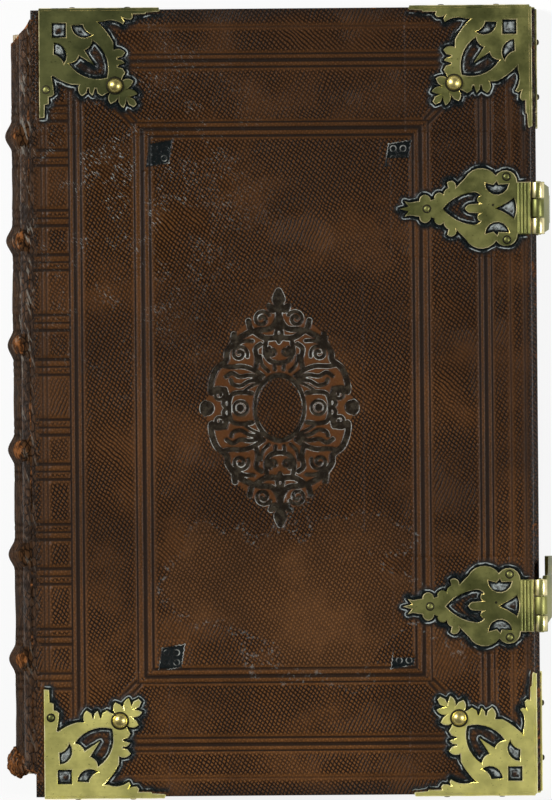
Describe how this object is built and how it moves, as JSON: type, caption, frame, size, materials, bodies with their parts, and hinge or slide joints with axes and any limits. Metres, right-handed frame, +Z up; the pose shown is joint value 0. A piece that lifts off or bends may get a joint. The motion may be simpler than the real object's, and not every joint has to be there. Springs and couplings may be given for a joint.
{
  "type": "antique leather book",
  "caption": "Thick antique folio book in blind-tooled leather over wooden boards, with a raised-band spine, pierced brass corner pieces and hinged brass clasps.",
  "frame": {"origin": "bottom centre of the box around the closed book, on the plane of the worn stud crowns it lies on", "axes": "+Z up through the front cover, +Y along the book's height to its head, +X from the spine to the fore edge"},
  "size_m": [0.2775, 0.402, 0.1054],
  "materials": {
    "leather": "worn, diced grain, satin",
    "wood": "bare, inside the leather",
    "leaves": "aged edges, matte",
    "endpaper": "matte",
    "brass": "aged, tarnished"
  },
  "bodies": {
    "back_cover": {"back_board": "wood", "back_cover_leather": "leather", "back_pastedown": "endpaper", "back_head_spine_corner": "brass", "back_head_fore_corner": "brass", "back_tail_fore_corner": "brass", "back_tail_spine_corner": "brass", "back_corner_studs": "brass", "upper_catch_plate": "brass", "lower_catch_plate": "brass"},
    "book_block": {"text_block": "leaves", "spine_leather": "leather"},
    "front_cover": {"front_board": "wood", "front_cover_leather": "leather", "front_pastedown": "endpaper", "front_head_spine_corner": "brass", "front_head_fore_corner": "brass", "front_tail_fore_corner": "brass", "front_tail_spine_corner": "brass", "front_corner_studs": "brass", "upper_clasp_plate": "brass", "lower_clasp_plate": "brass", "upper_clasp_pin": "brass", "lower_clasp_pin": "brass"},
    "upper_clasp": {"upper_clasp_arm": "brass"},
    "lower_clasp": {"lower_clasp_arm": "brass"}
  },
  "joints": [
    {"name": "back_joint", "type": "hinge", "parent": "back_cover", "child": "book_block", "pos_m": [-0.12415, 0, 0.0046], "axis": [0, -1, 0], "range_deg": [0, 90]},
    {"name": "front_joint", "type": "hinge", "parent": "book_block", "child": "front_cover", "pos_m": [-0.12415, 0, 0.1008], "axis": [0, 1, 0], "range_deg": [-160, 0]},
    {"name": "upper_clasp_hinge", "type": "hinge", "parent": "front_cover", "child": "upper_clasp", "pos_m": [0.13335, 0.0975, 0.0998], "axis": [0, -1, 0], "range_deg": [-1, 200]},
    {"name": "lower_clasp_hinge", "type": "hinge", "parent": "front_cover", "child": "lower_clasp", "pos_m": [0.13335, -0.1045, 0.0998], "axis": [0, -1, 0], "range_deg": [0, 200]}
  ]
}
